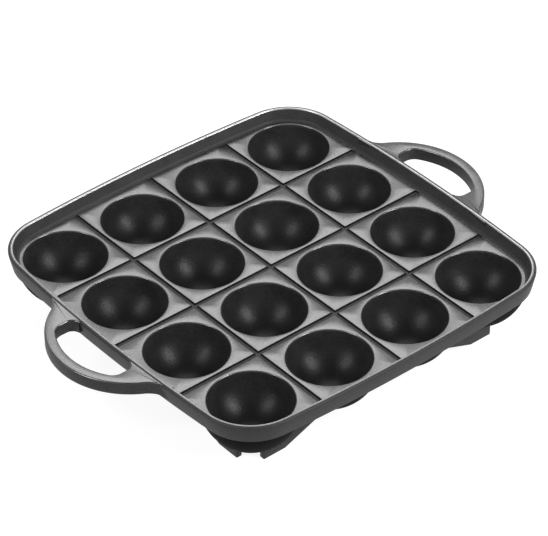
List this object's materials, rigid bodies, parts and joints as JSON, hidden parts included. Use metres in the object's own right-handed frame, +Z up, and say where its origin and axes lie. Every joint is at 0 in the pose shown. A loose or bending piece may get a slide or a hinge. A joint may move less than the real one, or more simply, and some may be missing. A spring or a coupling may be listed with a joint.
{
  "type": "takoyaki pan",
  "caption": "Square cast iron takoyaki pan with half-ball cups in a grooved plate, a raised rim, two loop handles and foot webs.",
  "frame": {"origin": "centre of the overall box, on the plane of the foot pads", "axes": "+X from the left handle to the right handle, +Y from front to back, +Z up out of the cups"},
  "size_m": [0.2498, 0.2016, 0.0364],
  "materials": {
    "cup_iron": "seasoned cast iron, fine sand-cast grain, satin",
    "rim_iron": "seasoned cast iron, satin, edges rubbed bright",
    "handle_iron": "seasoned cast iron, satin",
    "foot_iron": "seasoned cast iron, matt, as cast"
  },
  "bodies": {
    "root": {"rim_wall": "rim_iron", "handle_left": "handle_iron", "handle_right": "handle_iron", "cup_row1_col1": "cup_iron", "cup_row1_col2": "cup_iron", "cup_row1_col3": "cup_iron", "cup_row1_col4": "cup_iron", "cup_row2_col1": "cup_iron", "cup_row2_col2": "cup_iron", "cup_row2_col3": "cup_iron", "cup_row2_col4": "cup_iron", "cup_row3_col1": "cup_iron", "cup_row3_col2": "cup_iron", "cup_row3_col3": "cup_iron", "cup_row3_col4": "cup_iron", "cup_row4_col1": "cup_iron", "cup_row4_col2": "cup_iron", "cup_row4_col3": "cup_iron", "cup_row4_col4": "cup_iron", "foot_front_left_x": "foot_iron", "foot_front_left_y": "foot_iron", "foot_front_right_x": "foot_iron", "foot_front_right_y": "foot_iron", "foot_back_left_x": "foot_iron", "foot_back_left_y": "foot_iron", "foot_back_right_x": "foot_iron", "foot_back_right_y": "foot_iron"}
  },
  "joints": []
}
